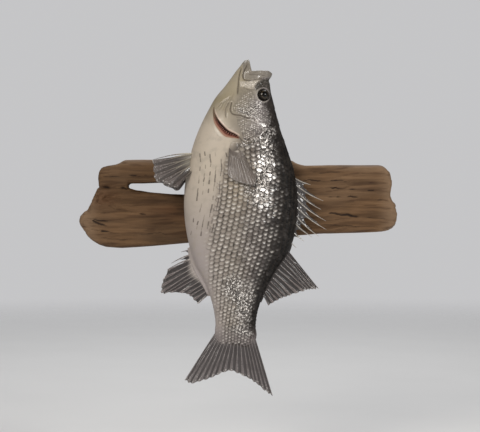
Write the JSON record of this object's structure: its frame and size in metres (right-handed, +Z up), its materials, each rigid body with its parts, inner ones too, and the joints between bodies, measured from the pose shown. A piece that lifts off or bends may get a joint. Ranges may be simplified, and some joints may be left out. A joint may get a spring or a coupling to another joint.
{
  "type": "mounted trophy fish",
  "caption": "Life-size taxidermy bass, head up and mouth open, fins spread, fixed by its far flank to a slab of driftwood that hangs on a wall.",
  "frame": {"origin": "middle of the driftwood slab's flat back, on the wall's plane", "axes": "+Z up along the wall, +Y into the wall, +X to the viewer's right; the fish's left flank faces -Y and its snout points up"},
  "size_m": [0.3714, 0.0874, 0.3822],
  "materials": {
    "flesh": "varnished silver-grey scaled skin, cream on the belly and dark along the back",
    "fins": "varnished grey-lavender fin webs with paler rays",
    "gills": "dull brick-red gill filaments",
    "eyes": "polished glass eye, dark pupil in a brown iris with a pale ring",
    "driftwood": "weathered brown driftwood, dry and matt, with open grain"
  },
  "bodies": {
    "root": {"driftwood": "driftwood", "head": "flesh", "upper_jaw": "flesh", "lower_jaw": "flesh", "throat": "flesh", "gill_cover_left": "flesh", "gill_cover_right": "flesh", "trunk": "flesh", "tail_stalk": "flesh", "gills_left": "gills", "gills_right": "gills", "eye_left": "eyes", "eye_right": "eyes", "caudal_fin": "fins", "spiny_dorsal_fin": "fins", "soft_dorsal_fin": "fins", "anal_fin": "fins", "pectoral_fin_left": "fins", "pectoral_fin_right": "fins", "pelvic_fin_left": "fins", "pelvic_fin_right": "fins"}
  },
  "joints": []
}
